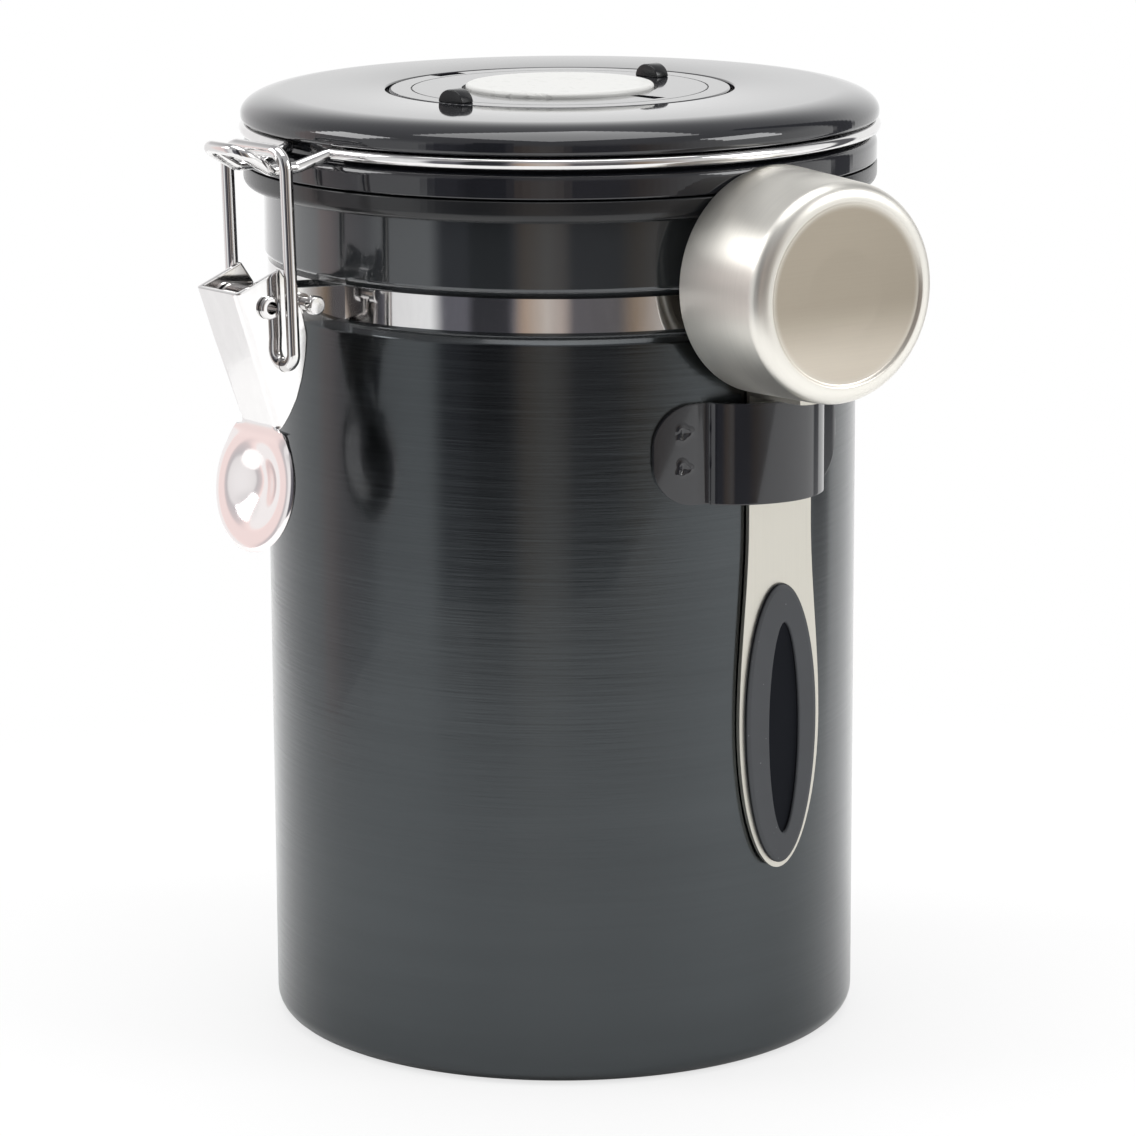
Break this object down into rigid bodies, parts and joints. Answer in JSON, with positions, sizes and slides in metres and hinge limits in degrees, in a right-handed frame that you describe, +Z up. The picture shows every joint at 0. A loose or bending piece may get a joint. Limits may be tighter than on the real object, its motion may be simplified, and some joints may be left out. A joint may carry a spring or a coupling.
{
  "type": "coffee canister with valve",
  "caption": "Steel storage canister with a hinged clamp lid, one-way valve, date dials and a scoop hung in a side clip.",
  "frame": {"origin": "middle of the base, on the surface that the canister stands on", "axes": "+Z up through the lid; the latch is on the -Y side, the lid hinge on the +Y side, the scoop on the +X side"},
  "size_m": [0.1553, 0.1595, 0.1942],
  "materials": {
    "black_lacquer": "satin gloss over brushing",
    "satin_black": "satin",
    "gloss_black": "high gloss",
    "chrome": "polished",
    "scoop_steel": "brushed",
    "silicone": "matt",
    "white_plastic": "gloss",
    "filter_felt": "matt",
    "grip_rubber": "matt"
  },
  "bodies": {
    "canister": {"canister_body": "black_lacquer", "rim_collar": "satin_black", "neck_band": "chrome", "band_screw": "chrome", "band_nut": "chrome", "latch_pivot_rivet": "chrome", "hinge_bracket": "chrome", "hinge_rivets": "chrome", "scoop_clip": "black_lacquer"},
    "lid": {"lid_cap": "gloss_black", "lid_base": "gloss_black", "lid_gasket": "silicone", "lid_screws": "chrome", "bail_hoop": "chrome", "number_plate": "white_plastic", "valve_body": "white_plastic", "valve_filter": "filter_felt", "valve_cap": "white_plastic"},
    "day_dial": {"day_ring": "gloss_black", "day_knob": "gloss_black"},
    "month_dial": {"month_ring": "gloss_black", "month_knob": "gloss_black"},
    "flap": {"valve_flap": "silicone"},
    "lever": {"latch_lever": "chrome"},
    "link": {"latch_link": "chrome"},
    "scoop": {"scoop_bowl": "scoop_steel", "scoop_handle": "scoop_steel", "scoop_grip": "grip_rubber"}
  },
  "joints": [
    {"name": "lid_hinge", "type": "hinge", "parent": "canister", "child": "lid", "pos_m": [0, 0.07, 0.178], "axis": [-1, 0, 0], "range_deg": [0, 105]},
    {"name": "day_turn", "type": "hinge", "parent": "lid", "child": "day_dial", "pos_m": [0, 0, 0.19], "axis": [0, 0, 1], "continuous": true},
    {"name": "month_turn", "type": "hinge", "parent": "lid", "child": "month_dial", "pos_m": [0, 0, 0.19], "axis": [0, 0, 1], "continuous": true},
    {"name": "flap_lift", "type": "slide", "parent": "lid", "child": "flap", "axis": [0, 0, 1], "range_m": [0, 0.0008]},
    {"name": "lever_turn", "type": "hinge", "parent": "canister", "child": "lever", "pos_m": [0, -0.0788, 0.1556], "axis": [-1, 0, 0], "range_deg": [0, 100]},
    {"name": "link_turn", "type": "hinge", "parent": "lever", "child": "link", "pos_m": [0, -0.075, 0.144], "axis": [-1, 0, 0], "range_deg": [-70, 0]},
    {"name": "scoop_lift", "type": "slide", "parent": "canister", "child": "scoop", "axis": [0, 0, 1], "range_m": [0, 0.03]}
  ],
  "couplings": [
    {"joint": "link_turn", "follows": "lever_turn", "ratio": -0.7}
  ]
}
